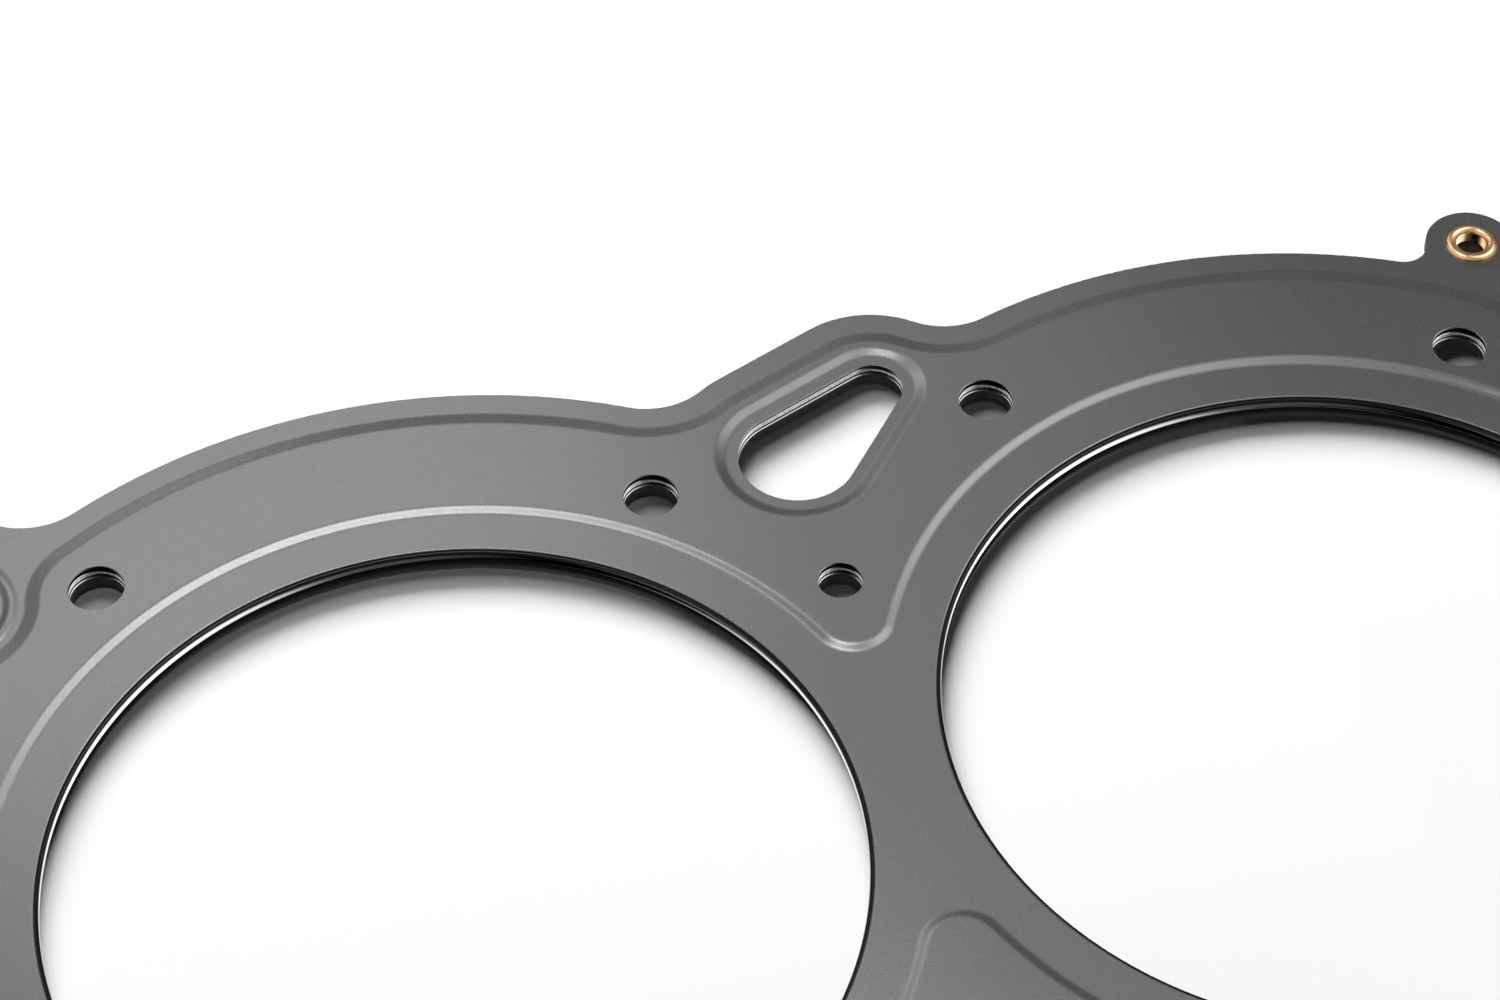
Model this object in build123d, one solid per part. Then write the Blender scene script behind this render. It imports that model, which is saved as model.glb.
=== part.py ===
from build123d import *
from math import cos, radians, sin, sqrt
import os

# Multi-layer steel head gasket for a twin-cylinder engine, laid flat.
# Millimetres, +Z up. The origin is on the axis of the first cylinder, half
# way through the plates. +X runs along the row of cylinders.

# Cylinder row
bore_count = 2
bore_radius = 43.65

# Plates, named from the top down
bead_plate_thickness = 0.35
core_thickness = 0.9
lower_plate_thickness = 0.35

# Stopper ring round each cylinder: a strip folded flat, its fold to the bore
ring_nose = 0.45
ring_width = 4.2
ring_fold_height = 0.25
ring_clearance = 0.1
core_bridge = 1.1

# Head bolts stand on both sides of every gap and of the two ends
bolt_hole_radius = 5.9
bolt_beyond_bore = 3.7

# Outline: a round land about each cylinder and a boss about each head bolt
land_beyond_bore = 23.45
boss_wall = 7.4
hollow_radius = 8.5

# Oil drain: between two cylinders one bolt hole is drawn out into a tear
drain_oil_gap = 0.93
drain_tip_radius = 3.6
drain_tip_along = 10.97
drain_tip_across = 8.22
drain_rim = 8.3

# Water holes, placed round their own cylinder, angles in degrees off the row
water_radius = 3.15
water_beyond_bore = 11.03
back_left_water_beyond_bore = 12.7
water_angle = 55.66
drain_side_water_angle = 63.28
web_water_radius = 2.53
web_water_beyond_bore = 12.29

# Half beads: the water field of the top plate stands off the core plate
bead_height = 0.3
bead_width = 1.9
bead_beyond_ring = 1.4
web_turn_radius = 4.2
rim_bead_inset = 3.85
bolt_bead_offset = 3.8
scallop_turn_radius = 8.0
drain_bead_offset = 2.05

# Ears at two opposite corners, and the tube swaged through each
eyelet_bore_radius = 1.7
eyelet_wall = 0.4
eyelet_clearance = 0.05
eyelet_flange_width = 1.1
eyelet_flange_height = 0.45
eyelet_flare = 0.7
ear_margin = 2.2
ear_turn_radius = 3.0
ear_inboard_of_bolt = 10.0
ear_stand_off = 2.045

# Levels
core_top = core_thickness / 2
top_land = core_top + bead_plate_thickness
rest_level = -core_top - lower_plate_thickness

# Radii that follow from the sizes above
ring_seat = bore_radius + ring_width
core_cut = ring_seat + ring_clearance
bore_bead_radius = ring_seat + bead_beyond_ring
land_radius = bore_radius + land_beyond_bore
boss_radius = bolt_hole_radius + boss_wall
tube_radius = eyelet_bore_radius + eyelet_wall
flange_radius = tube_radius + eyelet_flange_width
ear_hole = tube_radius + eyelet_clearance
ear_radius = flange_radius + ear_margin

# Places along the row
bore_pitch = 2 * core_cut + core_bridge
bore_xs = [bore_pitch * i for i in range(bore_count)]
gap_xs = [bore_pitch * (i - 0.5) for i in range(bore_count + 1)]
drain_xs = gap_xs[1:-1:2]
bolt_across = bore_radius + bolt_beyond_bore
bolt_points = [(x, y) for x in gap_xs for y in (bolt_across, -bolt_across)]
round_bolt_points = [p for p in bolt_points if p[0] not in drain_xs or p[1] < 0]
row_centre = (bore_xs[0] + bore_xs[-1]) / 2
ear_x = gap_xs[-1] - ear_inboard_of_bolt
ear_reach = land_radius + flange_radius + ear_stand_off
ear_y = sqrt(ear_reach**2 - (ear_x - bore_xs[-1]) ** 2)
ear_points = [(ear_x, ear_y), (2 * row_centre - ear_x, -ear_y)]


def discs(points, radius):
    return Sketch() + [Pos(x, y) * Circle(radius) for x, y in points]


def bore_discs(radius):
    return discs([(x, 0) for x in bore_xs], radius)


def grow(sketch, distance):
    return offset(sketch, distance, kind=Kind.ARC)


def round_hollows(sketch, radius):
    """Fills the inward corners of an outline with arcs."""
    return grow(grow(sketch, radius), -radius)


def round_corners(sketch, radius):
    """Takes the outward corners off an outline with arcs."""
    return grow(grow(sketch, -radius), radius)


def drain(margin):
    """Tear shape about a head bolt, its tip towards the rim."""
    bolt = Pos(0, bolt_across) * Circle(bolt_hole_radius + drain_oil_gap + margin)
    tip = Circle(drain_tip_radius + margin)
    tip = Pos(drain_tip_along, bolt_across + drain_tip_across) * tip
    return make_hull(bolt.edges() + tip.edges())


def drains(margin):
    return Sketch() + [Pos(x, 0) * drain(margin) for x in drain_xs]


def round_cylinder(x, beyond_bore, angle):
    """Point at an angle round the cylinder at x, off its bore's edge."""
    reach = bore_radius + beyond_bore
    return x + reach * cos(radians(angle)), reach * sin(radians(angle))


def water_holes():
    """Four holes to a cylinder and one to a web.

    The back left one stands further out, and further round where a drain's
    tip is beside it."""
    points = []
    for index, x in enumerate(bore_xs):
        beside_tip = gap_xs[index] in drain_xs
        back_left = drain_side_water_angle if beside_tip else water_angle
        points.append(round_cylinder(x, back_left_water_beyond_bore, 180 - back_left))
        for angle in (water_angle, -water_angle, water_angle - 180):
            points.append(round_cylinder(x, water_beyond_bore, angle))
    web_reach = bore_radius + web_water_beyond_bore
    across = sqrt(web_reach**2 - (bore_pitch / 2) ** 2)
    webs = [(x, across) for x in gap_xs[1:-1]]
    return discs(points, water_radius) + discs(webs, web_water_radius)


def outline():
    """Rim of the gasket without its ears."""
    rim = bore_discs(land_radius) + discs(bolt_points, boss_radius)
    return round_hollows(rim + drains(drain_rim), hollow_radius)


def plate_profile(bore):
    """Plan of a plate with every opening that runs through the stack."""
    plan = outline() + discs(ear_points, ear_radius)
    plan = round_hollows(plan, ear_turn_radius)
    plan -= bore_discs(bore) + drains(0) + water_holes()
    return plan - discs(round_bolt_points, bolt_hole_radius) - discs(ear_points, ear_hole)


def bank(line, inner, outer):
    """Sloping side of a half bead, as a block on the ground plane."""
    foot = grow(line, inner).face()
    crest = Pos(0, 0, bead_height) * grow(line, outer)
    return loft([foot, crest.face()], ruled=True)


def water_field():
    """Raised field between the rim bead, the bore beads and the drain beads."""
    half = bead_width / 2
    scallops = discs(round_bolt_points, bolt_hole_radius + bolt_bead_offset)
    rim_line = grow(outline(), -rim_bead_inset) - scallops
    rim_line = round_corners(rim_line, scallop_turn_radius)
    bore_line = round_hollows(bore_discs(bore_bead_radius), web_turn_radius)
    field = bank(rim_line, half, -half) - bank(bore_line, -half, half)
    for x in drain_xs:
        field -= Pos(x, 0) * bank(drain(drain_bead_offset), -half, half)
    return field


def top_bead_plate():
    """Spring steel sheet pressed up by one bead height over the water field."""
    plan = plate_profile(bore_radius)
    reach = bead_plate_thickness + bead_height
    through = extrude(plan, reach, both=True)
    sheet = extrude(make_face(plan.faces()[0].outer_wire()), bead_plate_thickness)
    field = water_field()
    sheet = sheet + Pos(0, 0, bead_plate_thickness) * field - field
    return Pos(0, 0, core_top) * (sheet & through)


def core_plate():
    """Thick carrier sheet, cut back round each cylinder to seat its ring."""
    plan = plate_profile(core_cut)
    return Pos(0, 0, -core_top) * extrude(plan, core_thickness)


def lower_plate():
    """Flat backing sheet, countersunk under each eyelet's flared end."""
    plate = extrude(plate_profile(bore_radius), lower_plate_thickness)
    sink = Cone(
        ear_hole + eyelet_flare,
        ear_hole,
        lower_plate_thickness,
        align=(Align.CENTER, Align.CENTER, Align.MIN),
    )
    plate -= [Pos(x, y) * sink for x, y in ear_points]
    return Pos(0, 0, rest_level) * plate


def stopper_ring():
    """Folded strip, pressed flat, whose rounded fold stands in the bore."""
    edge = bore_radius - ring_nose
    fold = core_top - ring_fold_height
    section = Polyline(
        (ring_seat, core_top),
        (bore_radius, core_top),
        (edge, fold),
        (edge, -fold),
        (bore_radius, -core_top),
        (ring_seat, -core_top),
        close=True,
    )
    return revolve(Plane.XZ * make_face(section), Axis.Z)


def eyelet():
    """Tube with a rolled flange on top and a flared end under the lower plate."""
    bore = eyelet_bore_radius
    crown = top_land + eyelet_flange_height
    roll = (flange_radius - bore) / 3
    section = Polyline(
        (tube_radius, top_land),
        (flange_radius, top_land),
        (flange_radius, top_land + eyelet_flange_height / 2),
        (flange_radius - roll, crown),
        (bore + roll, crown),
        (bore, top_land),
        (bore, -core_top),
        (bore + eyelet_flare, rest_level),
        (tube_radius + eyelet_flare, rest_level),
        (tube_radius, -core_top),
        close=True,
    )
    return revolve(Plane.XZ * make_face(section), Axis.Z)


nodes = {
    "top_bead_plate": top_bead_plate(),
    "core_plate": core_plate(),
    "lower_plate": lower_plate(),
}
for index, x in enumerate(bore_xs):
    nodes[f"stopper_ring_{index + 1}"] = Pos(x, 0) * stopper_ring()
for index, (x, y) in enumerate(ear_points):
    nodes[f"eyelet_{index + 1}"] = Pos(x, y) * eyelet()

os.makedirs("parts", exist_ok=True)
for name, solid in nodes.items():
    export_step(solid, f"parts/{name}.step")
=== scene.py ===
import math

import bpy
import numpy as np
from mathutils import Euler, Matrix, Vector
from mathutils.geometry import tessellate_polygon


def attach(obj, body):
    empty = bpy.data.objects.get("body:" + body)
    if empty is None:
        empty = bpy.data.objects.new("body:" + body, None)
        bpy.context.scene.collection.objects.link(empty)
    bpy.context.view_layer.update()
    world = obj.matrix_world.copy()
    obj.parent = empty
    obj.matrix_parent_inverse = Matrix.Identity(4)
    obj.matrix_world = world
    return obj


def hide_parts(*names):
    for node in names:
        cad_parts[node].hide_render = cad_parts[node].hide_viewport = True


# A multi-layer steel head gasket lying flat: two coated sheets with a thick
# core sheet between them, a folded ring round each cylinder, two eyelets.
# Sizes are in millimetres, and turn into metres where a thing is made.
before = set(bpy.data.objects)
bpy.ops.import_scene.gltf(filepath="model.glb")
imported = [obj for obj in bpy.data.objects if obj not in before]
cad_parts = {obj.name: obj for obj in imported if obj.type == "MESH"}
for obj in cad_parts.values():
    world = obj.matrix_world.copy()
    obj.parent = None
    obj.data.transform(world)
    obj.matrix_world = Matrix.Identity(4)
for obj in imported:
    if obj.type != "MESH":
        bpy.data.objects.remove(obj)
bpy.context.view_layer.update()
scene = bpy.context.scene

# ---------------------------------------------------------------------------
# Lower plate
# Flat spring steel sheet under the core plate, coated on both faces and then
# punched, so that its cut edges are bare; the rolls in the joint with the core
# and the edges round the cylinders are painted near-black as shade.
# ---------------------------------------------------------------------------

mm = 0.001

bore_pitch = 97.0
bore_radius = 43.45
land_radius = 67.1
hollow_radius = 8.5
cylinders = [(0.0, 0.0), (bore_pitch, 0.0)]

bolt_radius = 5.9
bolt_across = 47.35
boss_wall = 7.4
boss_radius = bolt_radius + boss_wall
bolt_left_back = (-bore_pitch / 2, bolt_across)
bolt_left_front = (-bore_pitch / 2, -bolt_across)
bolt_middle_front = (bore_pitch / 2, -bolt_across)
bolt_right_front = (bore_pitch * 1.5, -bolt_across)
bolt_right_back = (bore_pitch * 1.5, bolt_across)
round_bolts = [
    bolt_left_back,
    bolt_left_front,
    bolt_middle_front,
    bolt_right_front,
    bolt_right_back,
]

# The middle bolt hole at the back is drawn out into a tear, the oil drain,
# with room for oil about the bolt and a rim of its own on the far side.
drain_oil_gap = 0.93
drain_bolt = (bore_pitch / 2, bolt_across)
drain_bolt_radius = bolt_radius + drain_oil_gap
drain_tip_along = 10.97
drain_tip_across = 8.22
drain_tip = (drain_bolt[0] + drain_tip_along, drain_bolt[1] + drain_tip_across)
drain_tip_radius = 3.6
drain_rim = 8.285

# Water holes stand at a reach and an angle off the row, round their cylinder.
water_radius = 3.15
water_reach = 54.68
water_angle = 55.66
back_left_reach = 56.35
beside_drain_angle = 63.28
web_water_radius = 2.53
web_water_reach = 55.94

ear_back = (135.5, 61.25)
ear_front = (bore_pitch - ear_back[0], -ear_back[1])
ears = [ear_back, ear_front]
ear_radius = 5.4
ear_turn_radius = 3.0
tube_radius = 2.1
tube_clearance = 0.05
ear_hole_radius = tube_radius + tube_clearance

# Level nought is half way through the core plate.
core_top = 0.45
sheet_thickness = 0.35
lower_top = -core_top
lower_bottom = lower_top - sheet_thickness

# Rolls at the cut edges: plain, round a cylinder, and in the joint between
# two sheets, each drawn in the same number of flats.
edge_round = 0.05
bore_roll = 0.28
joint_roll = 0.10
roll_parts = 4

# Longest chords, on long lines and on small holes, and the widest turn from
# one chord to the next, in radians.
long_chord = 1.0
short_chord = 0.5
widest_turn = 0.09

# Places of the three finishes among the materials of every sheet; the third
# is near-black painted shade, for edges deep in joints and round the cylinders.
face_finish, cut_finish, painted_shade_finish = 0, 1, 2


def meet(a, reach_a, b, reach_b, side):
    """Point at two set distances from a and b, right (-1) or left (1) of a to b."""
    a, b = Vector(a[:2]), Vector(b[:2])
    span = (b - a).length
    along = (span**2 + reach_a**2 - reach_b**2) / (2 * span)
    across = side * math.sqrt(reach_a**2 - along**2)
    way = (b - a) / span
    return (a.x + way.x * along - way.y * across, a.y + way.y * along + way.x * across)


def disc(centre, radius):
    return (centre[0], centre[1], radius)


def hollow(a, b, radius):
    """Hollow arc that runs from disc a into disc b on the outside of both."""
    centre = meet(a, a[2] + radius, b, b[2] + radius, -1)
    return disc(centre, -radius)


def trace(arcs, chord=long_chord):
    """Points and outward normals round a closed line of arcs that flow together.

    A disc with a negative radius is a hollow arc; discs that do not touch are
    joined by their common tangent. A single disc gives a whole circle."""
    count = len(arcs)
    joints = []
    for index, first in enumerate(arcs):
        second = arcs[(index + 1) % count]
        gap = np.array([second[0] - first[0], second[1] - first[1]])
        if count == 1:
            joints.append((1.0, 0.0))
            continue
        size = float(gap @ gap)
        drop = first[2] - second[2]
        slack = math.sqrt(max(size - drop**2, 0.0))
        left = np.array([-gap[1], gap[0]])
        joints.append(tuple((drop * gap - slack * left) / size))
    points, normals = [], []
    for index, (x, y, radius) in enumerate(arcs):
        start = math.atan2(joints[index - 1][1], joints[index - 1][0])
        end = math.atan2(joints[index][1], joints[index][0])
        side = math.copysign(1.0, radius)
        sweep = side * (side * (end - start) % math.tau or math.tau)
        parts = max(3, math.ceil(abs(sweep) * max(abs(radius) / chord, 1 / widest_turn)))
        for part in range(parts + (count > 1)):
            angle = start + sweep * part / parts
            normal = (math.cos(angle), math.sin(angle))
            points.append((x + radius * normal[0], y + radius * normal[1]))
            normals.append(normal)
    points, normals = np.array(points), np.array(normals)

    # Where one arc ends and the next starts, the same point comes twice.
    same_point = 1e-4
    fresh = np.linalg.norm(points - np.roll(points, 1, axis=0), axis=1) > same_point
    return points[fresh], normals[fresh]


class Sheet:
    """Mesh of a pressed sheet, gathered as loops of points, bands and fills."""

    def __init__(self):
        self.points, self.normals, self.faces, self.finish = [], [], [], []

    def loop(self, line, offset, height, tilt):
        """Adds a line moved outward and up; tilt leans its normal off vertical."""
        points, normals = line
        first = len(self.points)
        lean, lift = math.sin(math.radians(tilt)), math.cos(math.radians(tilt))
        for point, normal in zip(points + offset * normals, normals):
            self.points.append((point[0] * mm, point[1] * mm, height * mm))
            self.normals.append((lean * normal[0], lean * normal[1], lift))
        return list(range(first, len(self.points)))

    def band(self, inner, outer, finish=face_finish):
        for index in range(len(inner)):
            after = (index + 1) % len(inner)
            self.faces.append((inner[index], outer[index], outer[after], inner[after]))
            self.finish.append(finish)

    def bands(self, line, rows, finishes):
        """Bands between rows of (offset, height, tilt); gives first and last loop.

        Two rows at one place with unlike tilts are a sharp edge, with no band."""
        loops = [self.loop(line, *row) for row in rows]
        for index, finish in enumerate(finishes):
            if rows[index][:2] != rows[index + 1][:2]:
                self.band(loops[index], loops[index + 1], finish)
        return loops[0], loops[-1]

    def fill(self, loops, up):
        """Flat face with holes between loops of points already added."""
        names = [name for loop in loops for name in loop]
        ring = [[Vector(self.points[name]) for name in loop] for loop in loops]
        for a, b, c in tessellate_polygon(ring):
            a, b, c = names[a], names[b], names[c]
            ab = Vector(self.points[b]) - Vector(self.points[a])
            ac = Vector(self.points[c]) - Vector(self.points[a])
            if (ab.cross(ac).z > 0) != up:
                b, c = c, b
            self.faces.append((a, b, c))
            self.finish.append(face_finish)

    def build(self, name, materials):
        mesh = bpy.data.meshes.new(name)
        mesh.from_pydata(self.points, [], self.faces)
        mesh.polygons.foreach_set("material_index", self.finish)
        mesh.polygons.foreach_set("use_smooth", [True] * len(self.faces))
        mesh.normals_split_custom_set_from_vertices(self.normals)
        for material in materials:
            mesh.materials.append(material)
        piece = bpy.data.objects.new(name, mesh)
        scene.collection.objects.link(piece)
        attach(piece, "root")
        return piece


def plate_rim():
    """The plate's outer line, anticlockwise from the right-hand land.

    Each shape comes with the radius of the hollow that leads into it, if any."""
    left, right = [disc(cylinder, land_radius) for cylinder in cylinders]
    boss = {bolt: disc(bolt, boss_radius) for bolt in round_bolts}
    tip = disc(drain_tip, drain_tip_radius + drain_rim)
    shoulder = disc(drain_bolt, drain_bolt_radius + drain_rim)
    line = [
        right,
        (boss[bolt_right_back], hollow_radius),
        (disc(ear_back, ear_radius), ear_turn_radius),
        (right, ear_turn_radius),
        (tip, hollow_radius),
        (shoulder, 0.0),
        (left, hollow_radius),
        (boss[bolt_left_back], hollow_radius),
        (left, hollow_radius),
        (boss[bolt_left_front], hollow_radius),
        (disc(ear_front, ear_radius), ear_turn_radius),
        (left, ear_turn_radius),
        (boss[bolt_middle_front], hollow_radius),
        (right, hollow_radius),
        (boss[bolt_right_front], hollow_radius),
    ]
    arcs = [line[0]]
    for shape, radius in line[1:]:
        if radius:
            arcs.append(hollow(arcs[-1], shape, radius))
        arcs.append(shape)
    arcs.append(hollow(arcs[-1], right, hollow_radius))
    return trace(arcs)


def round_hole(centre, radius, chord=short_chord):
    return trace([disc(centre, -radius)], chord)


def round_cylinder(cylinder, reach, angle):
    """Point at a distance from a cylinder's middle and an angle off the row."""
    turn = math.radians(angle)
    return (cylinder[0] + reach * math.cos(turn), cylinder[1] + reach * math.sin(turn))


def water_holes():
    """Lines of the four holes round each cylinder and the one in the web."""
    points = []
    for cylinder, back_left in zip(cylinders, (water_angle, beside_drain_angle)):
        points.append(round_cylinder(cylinder, back_left_reach, 180 - back_left))
        for angle in (water_angle, water_angle - 180, -water_angle):
            points.append(round_cylinder(cylinder, water_reach, angle))
    left, right = cylinders
    web = meet(left, web_water_reach, right, web_water_reach, 1)
    lines = [round_hole(point, water_radius) for point in points]
    lines.append(round_hole(web, web_water_radius))
    return lines


drain_arcs = [disc(drain_bolt, drain_bolt_radius), disc(drain_tip, drain_tip_radius)]


def drain_hole():
    """The drain's line, turned round so that its normals point into the hole."""
    points, normals = trace(drain_arcs, short_chord)
    return points[::-1], -normals[::-1]


rim_line = plate_rim()
bore_lines = [round_hole(cylinder, bore_radius, long_chord) for cylinder in cylinders]
bolt_lines = [round_hole(bolt, bolt_radius) for bolt in round_bolts]
water_lines = water_holes()
ear_lines = [round_hole(ear, ear_hole_radius) for ear in ears]
drain_line = drain_hole()
openings = bolt_lines + water_lines + ear_lines + [drain_line]


def rolled(size, level, lower=False):
    """Quarter round from a face to the cut edge, as rows for a band."""
    rows = []
    for part in range(roll_parts + 1):
        angle = 90 * part / roll_parts
        inset = size * (math.sin(math.radians(angle)) - 1)
        drop = size * (1 - math.cos(math.radians(angle)))
        rows.append((inset, level - drop, angle))
    if lower:
        return [(inset, 2 * level - height, 180 - tilt) for inset, height, tilt in rows[::-1]]
    return rows


def punch_lower_plate():
    """Flat sheet; its upper rolls, deep in the joint with the core, and its edges round the
    cylinders are painted dark as shade.
    """
    sheet = Sheet()
    cuts = [(line, edge_round, cut_finish) for line in [rim_line, *openings]]
    cuts += [(line, bore_roll, painted_shade_finish) for line in bore_lines]
    tops, bottoms = [], []
    for line, roll, finish in cuts:
        rows = rolled(joint_roll, lower_top) + rolled(roll, lower_bottom, lower=True)
        finishes = [painted_shade_finish] * roll_parts + [finish] * (roll_parts + 1)
        first, last = sheet.bands(line, rows, finishes)
        tops.append(first)
        bottoms.append(last)
    sheet.fill(tops, up=True)
    sheet.fill(bottoms, up=False)
    return sheet


def new_material(name):
    material = bpy.data.materials.new(name)
    material.use_nodes = True
    return material, material.node_tree.nodes, material.node_tree.links


def noise(nodes, links, scale, detail=2.0, stretch=(1, 1, 1)):
    """Noise laid over the piece in its own space, scale being cells to a metre."""
    where = nodes.new("ShaderNodeTexCoord")
    mapping = nodes.new("ShaderNodeMapping")
    mapping.inputs["Scale"].default_value = stretch
    texture = nodes.new("ShaderNodeTexNoise")
    texture.inputs["Scale"].default_value = scale
    texture.inputs["Detail"].default_value = detail
    links.new(where.outputs["Object"], mapping.inputs["Vector"])
    links.new(mapping.outputs["Vector"], texture.inputs["Vector"])
    return texture.outputs["Fac"]


# Nearly all of a noise lies between these two values.
noise_low, noise_high = 0.3, 0.7


def between(nodes, links, value, low, high):
    """Spreads a noise over a range of roughness."""
    spread = nodes.new("ShaderNodeMapRange")
    spread.inputs["From Min"].default_value = noise_low
    spread.inputs["From Max"].default_value = noise_high
    spread.inputs["To Min"].default_value = low
    spread.inputs["To Max"].default_value = high
    links.new(value, spread.inputs["Value"])
    return spread.outputs["Result"]


def shade(nodes, links, value, dark, light):
    """Colour that drifts with a noise from one shade to another."""
    ramp = nodes.new("ShaderNodeValToRGB")
    first, last = ramp.color_ramp.elements
    first.position, last.position = noise_low, noise_high
    first.color, last.color = (*dark, 1), (*light, 1)
    links.new(value, ramp.inputs["Fac"])
    return ramp.outputs["Color"]


def bump(nodes, links, value, height):
    """Fine relief, as high as height where the noise goes from nought to one."""
    relief = nodes.new("ShaderNodeBump")
    relief.inputs["Strength"].default_value = 1.0
    relief.inputs["Distance"].default_value = height * mm
    links.new(value, relief.inputs["Height"])
    return relief.outputs["Normal"]


def coating():
    """Thin satin grey coat on steel, nearly even in shade, with a fine grain."""
    material, nodes, links = new_material("satin_coating")
    surface = nodes["Principled BSDF"]
    surface.inputs["Metallic"].default_value = 0.91
    drift = noise(nodes, links, 14.0, 3.0)
    grain = noise(nodes, links, 1500.0, 2.0)
    colour = shade(nodes, links, drift, (0.195, 0.193, 0.190), (0.208, 0.206, 0.203))
    links.new(colour, surface.inputs["Base Color"])
    links.new(between(nodes, links, grain, 0.27, 0.29), surface.inputs["Roughness"])
    return material


# Near-black colour of painted shade, for edges deep in joints and in the bores.
painted_shade_colour = (0.022, 0.021, 0.020)


def shaded_edge_material():
    """Near-black matt painted shade on the edges round a cylinder and in the joints."""
    material, nodes, links = new_material("shaded_edge_material")
    surface = nodes["Principled BSDF"]
    surface.inputs["Metallic"].default_value = 0.0
    surface.inputs["Specular IOR Level"].default_value = 0.12
    grain = noise(nodes, links, 1800.0, 2.0)
    colour = shade(nodes, links, grain, painted_shade_colour, (0.034, 0.033, 0.031))
    links.new(colour, surface.inputs["Base Color"])
    links.new(between(nodes, links, grain, 0.45, 0.6), surface.inputs["Roughness"])
    return material


def cut_steel(name, dark, light):
    """Bare punched edge of a thin sheet, dragged downwards by the die."""
    material, nodes, links = new_material(name)
    surface = nodes["Principled BSDF"]
    surface.inputs["Metallic"].default_value = 1.0
    drag = noise(nodes, links, 2600.0, 2.0, (1, 1, 0.05))
    colour = shade(nodes, links, drag, (dark,) * 3, (light,) * 3)
    links.new(colour, surface.inputs["Base Color"])
    links.new(between(nodes, links, drag, 0.3, 0.42), surface.inputs["Roughness"])
    links.new(bump(nodes, links, drag, 0.01), surface.inputs["Normal"])
    return material


coat = coating()
cut_edge = cut_steel("cut_steel", 0.46, 0.62)
painted_shade_edge = shaded_edge_material()
lower_plate = punch_lower_plate().build("lower_sheet", [coat, cut_edge, painted_shade_edge])
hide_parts("lower_plate")

# ---------------------------------------------------------------------------
# Core plate
# Thick bare sheet that sets the height of the gasket. Its punched walls show
# a smooth sheared band at the top and a torn, streaked band below it.
# ---------------------------------------------------------------------------

core_cut_radius = 47.95

# The roll of its top edge, and how far in the middle of that roll lies.
core_roll = 0.10
core_roll_middle = 0.03

# Below the smooth band the steel breaks back over a short lip, and the torn
# band leans in a little to its foot. Both have a burr along the top, where
# their normals turn up and catch the light.
smooth_depth = 0.32
lip_level = core_top - smooth_depth
lip_burr_tilt = 66
lip_height = 0.06
lip_tilt = 112
torn_burr_tilt = 47.1
torn_inset = 0.05
foot_inset = 0.08
foot_chamfer = 0.05


def sheared_wall(sheet, line):
    """Punched wall from the top face down; gives its top and its bottom loop."""
    end = foot_inset + foot_chamfer
    rows = [
        (-core_roll, core_top, 0),
        (-core_roll_middle, core_top - core_roll_middle, 45),
        (0, core_top - core_roll, 90),
        (0, lip_level, 90),
        (0, lip_level, lip_burr_tilt),
        (-torn_inset, lip_level - lip_height, lip_tilt),
        (-torn_inset, lip_level - lip_height, torn_burr_tilt),
        (-foot_inset, -core_top + core_roll, 90),
        (-end, -core_top, 135),
        (-end, -core_top, 180),
    ]
    # The rolls at the top and foot of the wall, in the joints with the sheets, are painted dark
    # as shade.
    roll, smooth, torn = [painted_shade_finish] * 2, [face_finish] * 2, [cut_finish] * 3
    return sheet.bands(line, rows, roll + smooth + torn + roll)


def punch_core():
    """Flat plate with its own, wider openings round the cylinders."""
    sheet = Sheet()
    cuts = [round_hole(cylinder, core_cut_radius, long_chord) for cylinder in cylinders]
    walls = [sheared_wall(sheet, line) for line in [rim_line, *cuts, *openings]]
    tops, bottoms = zip(*walls)
    sheet.fill(tops, up=True)
    sheet.fill(bottoms, up=False)
    return sheet


def bare_steel():
    """Cold rolled sheet and the smooth band of its punched walls."""
    material, nodes, links = new_material("sheared_steel")
    surface = nodes["Principled BSDF"]
    surface.inputs["Metallic"].default_value = 1.0
    streak = noise(nodes, links, 900.0, 3.0, (1, 1, 0.1))
    colour = shade(nodes, links, streak, (0.34, 0.335, 0.33), (0.46, 0.455, 0.45))
    links.new(colour, surface.inputs["Base Color"])
    links.new(between(nodes, links, streak, 0.16, 0.28), surface.inputs["Roughness"])
    links.new(bump(nodes, links, streak, 0.004), surface.inputs["Normal"])
    return material


def torn_steel():
    """Lower part of the punched wall, streaked where the steel tore."""
    material, nodes, links = new_material("torn_steel")
    surface = nodes["Principled BSDF"]
    surface.inputs["Metallic"].default_value = 1.0
    streak = noise(nodes, links, 2400.0, 3.0, (1, 1, 0.12))
    colour = shade(nodes, links, streak, (0.34, 0.33, 0.32), (0.85, 0.84, 0.82))
    links.new(colour, surface.inputs["Base Color"])
    links.new(between(nodes, links, streak, 0.30, 0.5), surface.inputs["Roughness"])
    links.new(bump(nodes, links, streak, 0.06), surface.inputs["Normal"])
    return material


core_materials = [bare_steel(), torn_steel(), painted_shade_edge]
core_sheet = punch_core().build("core_sheet", core_materials)
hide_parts("core_plate")

# ---------------------------------------------------------------------------
# Stopper rings
# Polished stainless strip folded flat over the core's edge round each
# cylinder. The bend stands in the bore; the legs lie between the sheets.
# ---------------------------------------------------------------------------

ring_clearance = 0.1
ring_seat_radius = core_cut_radius - ring_clearance
ring_edge = 43.02
ring_steps = 360

# The bend, from nose to neck and from middle to crest. A fullness of two is
# a plain half ellipse, and more is squarer.
bend_depth = 0.40
bend_height = 0.62
bend_fullness = 2.5
bend_steps = 20
neck_gap = 0.02

# Heights off the middle where painted shade on the strip starts and where it is fully dark.
bright_middle = 0.2
dark_shoulder = 0.48


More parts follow.
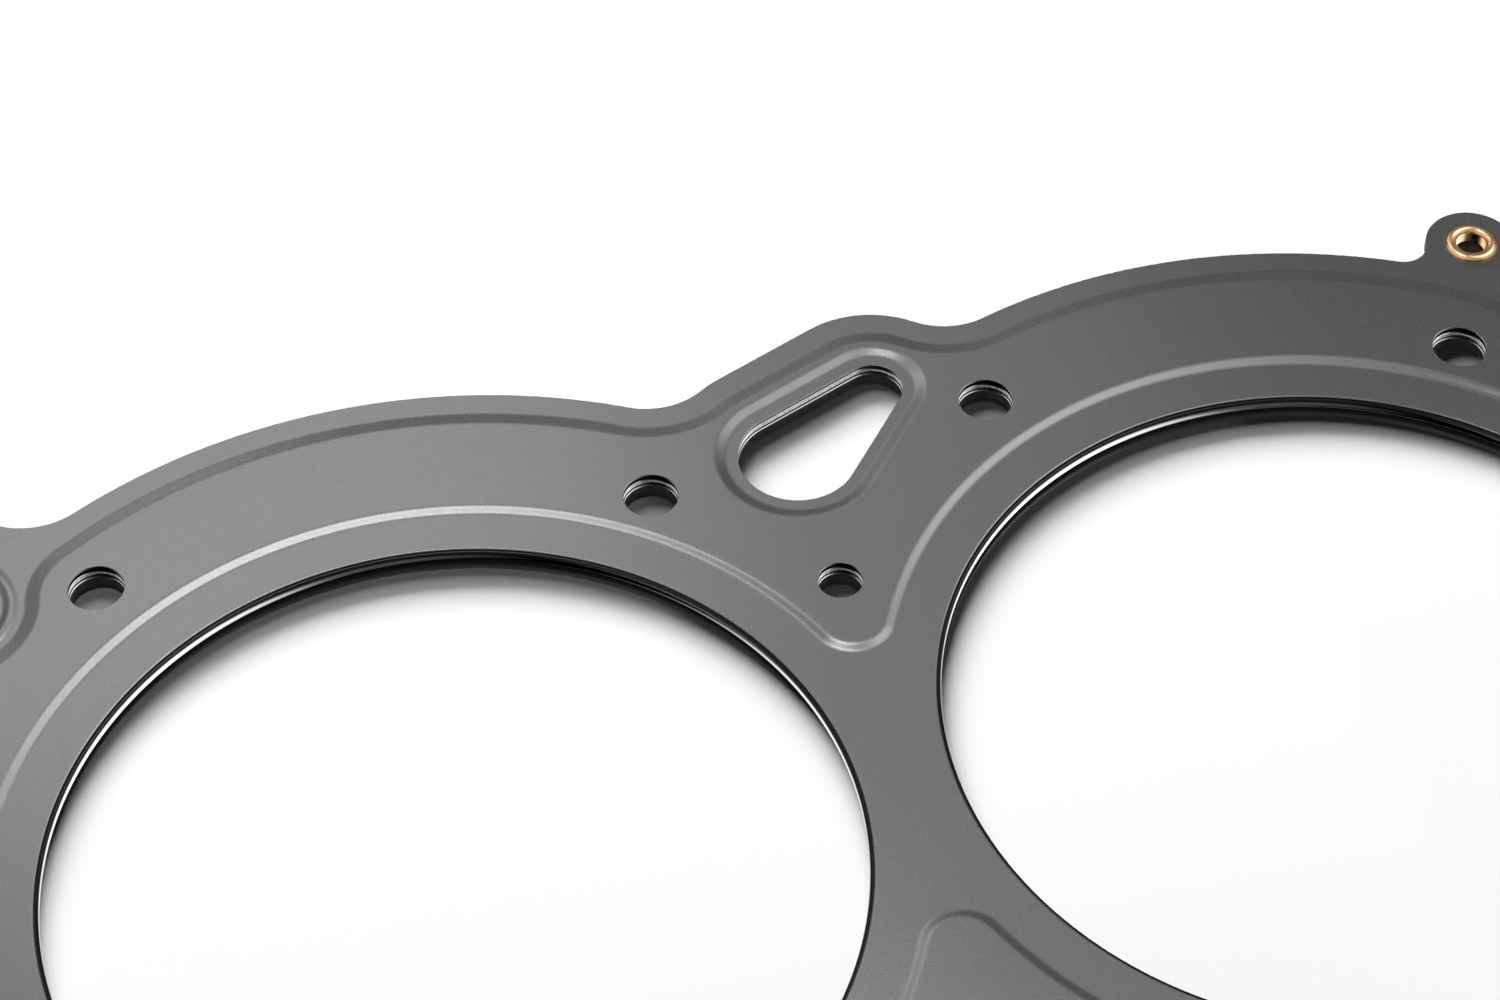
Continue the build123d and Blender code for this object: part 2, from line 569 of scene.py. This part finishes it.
def turned(name, centre, profile, material, steps):
    """Closed profile of (radius, height, tilt) turned about an upright axis.

    Two points at one place with unlike tilts are a sharp edge."""
    points, normals, faces = [], [], []
    for step in range(steps):
        angle = math.tau * step / steps
        way = (math.cos(angle), math.sin(angle))
        for radius, height, tilt in profile:
            x, y = centre[0] + radius * way[0], centre[1] + radius * way[1]
            points.append((x * mm, y * mm, height * mm))
            lean = math.sin(math.radians(tilt))
            normals.append((lean * way[0], lean * way[1], math.cos(math.radians(tilt))))
    size = len(profile)
    for step in range(steps):
        here, there = step * size, (step + 1) % steps * size
        for index in range(size):
            after = (index + 1) % size
            if profile[index][:2] != profile[after][:2]:
                faces.append((here + index, there + index, there + after, here + after))
    mesh = bpy.data.meshes.new(name)
    mesh.from_pydata(points, [], faces)
    mesh.polygons.foreach_set("use_smooth", [True] * len(faces))
    mesh.normals_split_custom_set_from_vertices(normals)
    mesh.materials.append(material)
    piece = bpy.data.objects.new(name, mesh)
    scene.collection.objects.link(piece)
    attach(piece, "root")
    return piece


def ring_profile():
    """Flat legs, a full bend that swells past them, and the closed outer edge."""
    neck = ring_edge + bend_depth + neck_gap
    profile = [
        (ring_seat_radius, core_top, 0),
        (ring_seat_radius, core_top, 90),
        (ring_seat_radius, -core_top, 90),
        (ring_seat_radius, -core_top, 180),
        (neck, -core_top, 180),
        (neck, -core_top, 90),
    ]
    power = 2 / bend_fullness
    for step in range(bend_steps + 1):
        turn = math.pi * step / bend_steps
        across, up = math.sin(turn), -math.cos(turn)
        radius = ring_edge + bend_depth * (1 - across**power)
        height = bend_height * math.copysign(abs(up) ** power, up)
        lean = -(across ** (2 - power)) / bend_depth
        lift = math.copysign(abs(up) ** (2 - power), up) / bend_height
        profile.append((radius, height, math.degrees(math.atan2(lean, lift))))
    profile += [(neck, core_top, 90), (neck, core_top, 0)]
    return profile[::-1]


def painted_shade_shoulders(nodes, links, bright):
    """Paints shade on the bend above and below its middle, leaving a bright band between."""
    where = nodes.new("ShaderNodeTexCoord")
    parts = nodes.new("ShaderNodeSeparateXYZ")
    links.new(where.outputs["Object"], parts.inputs["Vector"])
    reach = nodes.new("ShaderNodeMath")
    reach.operation = "ABSOLUTE"
    links.new(parts.outputs["Z"], reach.inputs[0])
    fade = nodes.new("ShaderNodeMapRange")
    fade.interpolation_type = "SMOOTHSTEP"
    fade.inputs["From Min"].default_value = bright_middle * mm
    fade.inputs["From Max"].default_value = dark_shoulder * mm
    links.new(reach.outputs["Value"], fade.inputs["Value"])
    mixed = nodes.new("ShaderNodeMix")
    mixed.data_type = "RGBA"
    share, middle, shoulder = mixed.inputs[0], mixed.inputs[6], mixed.inputs[7]
    links.new(fade.outputs["Result"], share)
    links.new(bright, middle)
    shoulder.default_value = (*painted_shade_colour, 1)
    return mixed.outputs[2]


def polished_strip():
    """Bright rolled stainless with faint lines along the strip, and painted shade on the bend
    above and below its middle.
    """
    material, nodes, links = new_material("polished_strip")
    surface = nodes["Principled BSDF"]
    surface.inputs["Metallic"].default_value = 1.0
    drawn = noise(nodes, links, 700.0, 2.0, (0.04, 0.04, 6.0))
    colour = shade(nodes, links, drawn, (0.74, 0.73, 0.71), (0.82, 0.81, 0.79))
    links.new(painted_shade_shoulders(nodes, links, colour), surface.inputs["Base Color"])
    links.new(between(nodes, links, drawn, 0.16, 0.22), surface.inputs["Roughness"])
    links.new(bump(nodes, links, drawn, 0.002), surface.inputs["Normal"])
    return material


strip = polished_strip()
for number, cylinder in enumerate(cylinders, 1):
    ring = turned(f"fold_ring_{number}", cylinder, ring_profile(), strip, ring_steps)
    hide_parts(f"stopper_ring_{number}")

# ---------------------------------------------------------------------------
# Top bead plate
# The same coated spring steel, pressed so that the water field stands one
# bead height above the lands round the cylinders, the oil drain and the rim.
# ---------------------------------------------------------------------------

top_bottom = core_top
land_top = top_bottom + sheet_thickness
bead_height = 0.30
bead_steps = 12

# Half beads: each has the width of its slope, and the share of that width
# over which the slope eases off at either side.
rim_bead_inset = 3.85
rim_bead_width = 2.2
rim_bead_shoulder = 0.22
bolt_bead_offset = 3.8
bolt_bead_radius = bolt_radius + bolt_bead_offset
bead_corner_radius = 8.0
bead_beyond_ring = 1.4
bore_bead_radius = ring_seat_radius + bead_beyond_ring
bore_bead_width = 1.8
bore_bead_shoulder = 0.45
web_turn_radius = 4.2
drain_bead_offset = 2.05
drain_bead_width = 1.9
drain_bead_shoulder = 0.35

# Low round collar about each bolt hole, from its foot to its inner side.
collar_foot = 2.5
collar_inner = 0.35
collar_height = 0.16
collar_steps = 8


def rim_bead():
    """Middle line of the outer half bead, looping inside every round bolt."""
    left, right = [disc(cylinder, land_radius - rim_bead_inset) for cylinder in cylinders]
    corner = bead_corner_radius
    hollow_inside = hollow_radius + rim_bead_inset

    def past(bolt, before, after):
        """Arcs from one land, round the inside of a bolt, to the next land."""
        arcs = []
        for land, side in ((before, -1), (after, 1)):
            centre = meet(land, land[2] - corner, bolt, bolt_bead_radius + corner, side)
            arcs.append(disc(centre, corner))
        return [arcs[0], disc(bolt, -bolt_bead_radius), arcs[1]]

    tip = disc(drain_tip, drain_tip_radius + drain_rim - rim_bead_inset)
    shoulder = disc(drain_bolt, drain_bolt_radius + drain_rim - rim_bead_inset)
    return trace(
        [
            right,
            hollow(right, tip, hollow_inside),
            tip,
            shoulder,
            hollow(shoulder, left, hollow_inside),
            left,
            *past(bolt_left_back, left, left),
            left,
            *past(bolt_left_front, left, left),
            left,
            *past(bolt_middle_front, left, right),
            right,
            *past(bolt_right_front, right, right),
            right,
            *past(bolt_right_back, right, right),
        ]
    )


def bore_bead():
    """Middle line of the bead that goes round both cylinders as one."""
    left, right = [disc(cylinder, bore_bead_radius) for cylinder in cylinders]
    turn_front = hollow(left, right, web_turn_radius)
    turn_back = hollow(right, left, web_turn_radius)
    return trace([left, turn_front, right, turn_back])


def drain_bead():
    """Middle line of the half bead round the oil drain."""
    grown = [(x, y, radius + drain_bead_offset) for x, y, radius in drain_arcs]
    return trace(grown, short_chord)


def step_rows(inner, outer, level, width, shoulder):
    """Step from one height over a level, inside a line, to another outside it.

    The slope is steady in the middle and eases off over each shoulder."""
    rows = []
    steepest = (outer - inner) / (width * (1 - shoulder))
    for part in range(bead_steps + 1):
        share = part / bead_steps
        near = min(share, 1 - share)
        ease = min(near / shoulder, 1.0)
        slope = steepest * (1 - math.cos(math.pi * ease)) / 2
        if near < shoulder:
            rise = near / 2 - shoulder * math.sin(math.pi * ease) / (2 * math.pi)
        else:
            rise = near - shoulder / 2
        climb = steepest * width * rise
        height = inner + climb if share <= 0.5 else outer - climb
        tilt = math.degrees(math.atan(-slope))
        rows.append(((share - 0.5) * width, level + height, tilt))
    return rows


def collar_rows():
    """Smooth hump about a bolt hole, as rows over the land."""
    rows = []
    width = collar_foot - collar_inner
    for step in range(collar_steps + 1):
        share = step / collar_steps
        rise = collar_height * math.sin(math.pi * share) ** 2
        slope = collar_height * math.pi / width * math.sin(math.tau * share)
        offset = width * share - collar_foot
        rows.append((offset, land_top + rise, math.degrees(math.atan(-slope))))
    return rows


def press_bead(sheet, line, inner, outer, *slope):
    """Both faces of a half bead; gives its inner and its outer loops.

    The underside is drawn in every other row."""
    upper = step_rows(inner, outer, land_top, *slope)
    top_inner, top_outer = sheet.bands(line, upper, [face_finish] * bead_steps)
    lower = step_rows(inner, outer, top_bottom, *slope)[::2]
    loops = [sheet.loop(line, offset, height, tilt + 180) for offset, height, tilt in lower]
    for near, far in zip(loops, loops[1:]):
        sheet.band(far, near)
    return (top_inner, loops[0]), (top_outer, loops[-1])


def cut_top_plate(sheet, line, lift, lead=(), roll=edge_round, finish=cut_finish):
    """Edge of an opening or of the rim; gives its top and its bottom loop.

    Where the finish is painted shade, the plate's coat runs over the upper half
    of its roll and the lower half is painted dark; the roll below, in the joint
    with the core, is always painted dark as shade."""
    top, bottom = land_top + lift, top_bottom + lift
    rows = [*lead, *rolled(roll, top), *rolled(joint_roll, bottom, lower=True)]
    coated = roll_parts // 2 if finish == painted_shade_finish else roll_parts
    finishes = [face_finish] * (len(lead) + coated) + [finish] * (roll_parts - coated + 1)
    return sheet.bands(line, rows, finishes + [painted_shade_finish] * roll_parts)


def press_top_plate():
    """Half beads and cut edges first, then the flats between them, on both faces."""
    sheet = Sheet()
    low, high = 0.0, bead_height
    rim_shape = (rim_bead_width, rim_bead_shoulder)
    bore_shape = (bore_bead_width, bore_bead_shoulder)
    drain_shape = (drain_bead_width, drain_bead_shoulder)
    rim_inner, rim_outer = press_bead(sheet, rim_bead(), high, low, *rim_shape)
    bore_inner, bore_outer = press_bead(sheet, bore_bead(), low, high, *bore_shape)
    drain_inner, drain_outer = press_bead(sheet, drain_bead(), low, high, *drain_shape)

    rim = cut_top_plate(sheet, rim_line, low)
    bolts = [cut_top_plate(sheet, line, low, collar_rows()) for line in bolt_lines]
    ear_cuts = [cut_top_plate(sheet, line, low) for line in ear_lines]
    bores = [cut_top_plate(sheet, line, low, (), bore_roll, painted_shade_finish) for line in bore_lines]
    drain = cut_top_plate(sheet, drain_line, low)
    waters = [cut_top_plate(sheet, line, high) for line in water_lines]

    outer_land = [rim, rim_outer, *bolts, *ear_cuts]
    water_field = [rim_inner, bore_outer, drain_outer, *waters]
    cylinder_lands = [bore_inner, *bores]
    drain_land = [drain_inner, drain]
    for side, up in ((0, True), (1, False)):
        for edges in (outer_land, water_field, cylinder_lands, drain_land):
            sheet.fill([edge[side] for edge in edges], up)
    return sheet


smeared_edge = cut_steel("smeared_edge", 0.13, 0.22)
top_plate = press_top_plate().build("bead_sheet", [coat, smeared_edge, painted_shade_edge])
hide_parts("top_bead_plate")

# ---------------------------------------------------------------------------
# Eyelets
# Short tubes of copper-coloured brass that hold the sheets together at the
# ears: rolled over on top, and flared at the foot into the lower plate.
# ---------------------------------------------------------------------------

eyelet_bore = 1.75
flare = 0.7
eyelet_steps = 96

# The flange is a half round on the land. Its throat turns straight down a
# little below the land, and it laps on to the plate beside the tube.
flange_radius = 3.2
flange_height = 0.45
flange_steps = 20
flange_lap = 0.05
throat_drop = 0.1


def eyelet_profile():
    """Half-round flange, tube and flared foot, from the flange's outer edge in."""
    middle = (flange_radius + eyelet_bore) / 2
    half = (flange_radius - eyelet_bore) / 2
    profile = []
    for step in range(flange_steps + 1):
        angle = 90.0 - 180.0 * step / flange_steps
        lean, lift = math.sin(math.radians(angle)), math.cos(math.radians(angle))
        profile.append((middle + half * lean, land_top + flange_height * lift, angle))
    profile += [
        (eyelet_bore, land_top - throat_drop, -90),
        (eyelet_bore, -core_top, -90),
        (eyelet_bore + flare, lower_bottom, -135),
        (tube_radius + flare, lower_bottom, 180),
        (tube_radius, -core_top, 120),
        (tube_radius, land_top, 90),
        (tube_radius + flange_lap, land_top, 180),
    ]
    return profile


def spun_brass():
    """Warm brass, bright from forming, with a very fine grain."""
    material, nodes, links = new_material("spun_brass")
    surface = nodes["Principled BSDF"]
    surface.inputs["Metallic"].default_value = 1.0
    worn = noise(nodes, links, 420.0, 3.0)
    fine = noise(nodes, links, 3800.0, 2.0)
    colour = shade(nodes, links, worn, (0.80, 0.49, 0.25), (0.90, 0.60, 0.34))
    links.new(colour, surface.inputs["Base Color"])
    links.new(between(nodes, links, fine, 0.20, 0.30), surface.inputs["Roughness"])
    links.new(bump(nodes, links, fine, 0.002), surface.inputs["Normal"])
    return material


brass = spun_brass()
for number, ear in enumerate(ears, 1):
    eyelet = turned(f"rolled_eyelet_{number}", ear, eyelet_profile(), brass, eyelet_steps)
    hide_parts(f"eyelet_{number}")

# ---------------------------------------------------------------------------
# Table
# Plain white table top with a soft gloss, which the gasket lies on and throws
# its shadow on. The metal doesn't mirror it.
# ---------------------------------------------------------------------------

table_half = 3000


def table_top():
    material, nodes, links = new_material("white_table")
    surface = nodes["Principled BSDF"]
    surface.inputs["Base Color"].default_value = (0.93, 0.93, 0.93, 1)
    surface.inputs["Roughness"].default_value = 0.06
    surface.inputs["Specular IOR Level"].default_value = 0.3
    return material


ends = (-table_half, table_half)
corners = [(ends[0], ends[0]), (ends[1], ends[0]), (ends[1], ends[1]), (ends[0], ends[1])]
table_mesh = bpy.data.meshes.new("table")
table_points = [(x * mm, y * mm, lower_bottom * mm) for x, y in corners]
table_mesh.from_pydata(table_points, [], [(0, 1, 2, 3)])
table_mesh.materials.append(table_top())
table = bpy.data.objects.new("table", table_mesh)
scene.collection.objects.link(table)
table.visible_glossy = False

# ---------------------------------------------------------------------------
# Lamps
# Two soft white lamps low behind the gasket, over its far long side. They
# light the table and throw the short shadow; the metal doesn't mirror them.
# ---------------------------------------------------------------------------

lamp_azimuth = 90
lamp_distance = 2200
gasket_middle = Vector((50, 0, 0))

# (elevation in degrees, width, height, power in watts)
lamps = {
    "back_lamp": (14.5, 1600, 400, 174),
    "upper_lamp": (25, 900, 540, 26),
}


def direction(azimuth, elevation):
    """Unit way out from the gasket, the azimuth turning from +X towards +Y."""
    out, up = math.radians(azimuth), math.radians(elevation)
    return Vector((math.cos(out) * math.cos(up), math.sin(out) * math.cos(up), math.sin(up)))


for name, (elevation, width, height, power) in lamps.items():
    data = bpy.data.lights.new(name, "AREA")
    data.shape = "RECTANGLE"
    data.size = width * mm
    data.size_y = height * mm
    data.energy = power
    way = direction(lamp_azimuth, elevation)
    lamp = bpy.data.objects.new(name, data)
    lamp.location = (gasket_middle + way * lamp_distance) * mm
    lamp.rotation_mode = "QUATERNION"
    lamp.rotation_quaternion = way.to_track_quat("Z", "Y")
    lamp.visible_glossy = False
    lamp.visible_camera = False
    scene.collection.objects.link(lamp)

# ---------------------------------------------------------------------------
# Panels
# Square white panels hung level above and behind the gasket, for the coat,
# the slopes of the beads and the rings to mirror. They don't light the table.
# ---------------------------------------------------------------------------

panel_height = 450

# (x, y, width, how bright the panel's face is)
panels = [
    (25, 150, 145, 6.3),
    (30, 455, 150, 2.1),
    (-75, 440, 150, 2.2),
    (0, 550, 550, 0.6),
    (-200, 1150, 350, 2.76),
]


def straight_path(nodes, links):
    """One where light has met nothing matt on its way, else nought.

    It keeps what the metal mirrors from being thrown on to the table."""
    paths = nodes.new("ShaderNodeLightPath")
    straight = nodes.new("ShaderNodeMath")
    straight.operation = "SUBTRACT"
    straight.use_clamp = True
    straight.inputs[0].default_value = 1.0
    links.new(paths.outputs["Diffuse Depth"], straight.inputs[1])
    return straight.outputs["Value"]


for number, (x, y, width, glow) in enumerate(panels, 1):
    name = f"panel_{number}"
    data = bpy.data.lights.new(name, "AREA")
    data.size = width * mm
    data.energy = glow * math.pi * (width * mm) ** 2
    data.use_nodes = True
    nodes, links = data.node_tree.nodes, data.node_tree.links
    links.new(straight_path(nodes, links), nodes["Emission"].inputs["Strength"])
    panel = bpy.data.objects.new(name, data)
    panel.location = Vector((x, y, panel_height)) * mm
    panel.visible_diffuse = False
    panel.visible_camera = False
    scene.collection.objects.link(panel)

# ---------------------------------------------------------------------------
# Room
# White all round to the eye, and nearly unlit for what is matt. What is glossy
# mirrors a dark room instead, with soft bright patches on its walls.
# ---------------------------------------------------------------------------

# (azimuth, elevation, where the patch starts to fade and where it ends, all
# in degrees, and how bright it is)
room_patches = [
    (12, 56, 0, 30, 2.85),
    (60, 5, 0, 55, 0.22),
    (30, -42, 8, 38, 1.35),
    (-18, -38, 8, 40, 1.5),
    (132, -42, 4, 36, 1.3),
    (-76, -34, 0, 40, 0.08),
    (-90, 50, 15, 48, 0.5),
    (180, 25, 25, 60, 0.8),
    (-20, 12, 20, 50, 0.7),
]
unlit_room = 0.01


def patch(nodes, links, azimuth, elevation, inner, outer, glow):
    """Round patch in one direction from the gasket, soft at its edge."""
    where = nodes.new("ShaderNodeTexCoord")
    facing = nodes.new("ShaderNodeVectorMath")
    facing.operation = "DOT_PRODUCT"
    facing.inputs[1].default_value = direction(azimuth, elevation)
    links.new(where.outputs["Generated"], facing.inputs[0])
    fade = nodes.new("ShaderNodeMapRange")
    fade.interpolation_type = "SMOOTHSTEP"
    fade.inputs["From Min"].default_value = math.cos(math.radians(outer))
    fade.inputs["From Max"].default_value = math.cos(math.radians(inner))
    fade.inputs["To Min"].default_value = 0.0
    fade.inputs["To Max"].default_value = glow
    links.new(facing.outputs["Value"], fade.inputs["Value"])
    return fade.outputs["Result"]


def combined(nodes, links, operation, first, second):
    """Two values put together, by such an operation as ADD."""
    maths = nodes.new("ShaderNodeMath")
    maths.operation = operation
    links.new(first, maths.inputs[0])
    links.new(second, maths.inputs[1])
    return maths.outputs["Value"]


def white(nodes, links, strength):
    """White light, as strong as a number or as what a socket gives."""
    background = nodes.new("ShaderNodeBackground")
    background.inputs["Color"].default_value = (1, 1, 1, 1)
    if isinstance(strength, float):
        background.inputs["Strength"].default_value = strength
    else:
        links.new(strength, background.inputs["Strength"])
    return background.outputs["Background"]


def either(nodes, links, choice, no, yes):
    """The light called yes where the choice is one, and no where it is nought."""
    mixed = nodes.new("ShaderNodeMixShader")
    links.new(choice, mixed.inputs["Fac"])
    links.new(no, mixed.inputs[1])
    links.new(yes, mixed.inputs[2])
    return mixed.outputs["Shader"]


def room_light():
    world = bpy.data.worlds.new("room")
    world.use_nodes = True
    nodes, links = world.node_tree.nodes, world.node_tree.links
    nodes.clear()
    patches = [patch(nodes, links, *values) for values in room_patches]
    total = patches[0]
    for further in patches[1:]:
        total = combined(nodes, links, "ADD", total, further)
    rays = nodes.new("ShaderNodeLightPath").outputs
    straight = straight_path(nodes, links)
    in_metal = combined(nodes, links, "MULTIPLY", rays["Is Glossy Ray"], straight)
    walls, unlit, plain = [white(nodes, links, glow) for glow in (total, unlit_room, 1.0)]
    lit = either(nodes, links, in_metal, unlit, walls)
    shown = either(nodes, links, rays["Is Camera Ray"], lit, plain)
    output = nodes.new("ShaderNodeOutputWorld")
    links.new(shown, output.inputs["Surface"])
    return world


scene.world = room_light()
scene.view_settings.view_transform = "Standard"

# ---------------------------------------------------------------------------
# Camera
# Long lens in front of the first cylinder, looking down across the row. The
# near side of the gasket and both its ends run out of view.
# ---------------------------------------------------------------------------

camera_data = bpy.data.cameras.new("camera")
camera_data.sensor_width = 36.0
camera_data.lens = 87.59
camera_data.clip_start = 0.01
camera_data.clip_end = 20.0
camera = bpy.data.objects.new("camera", camera_data)
camera.location = Vector((-20.712, -224.139, 309.656)) * mm
camera.rotation_euler = Euler([math.radians(turn) for turn in (41.512, 0.354, -13.580)])
scene.collection.objects.link(camera)
scene.camera = camera
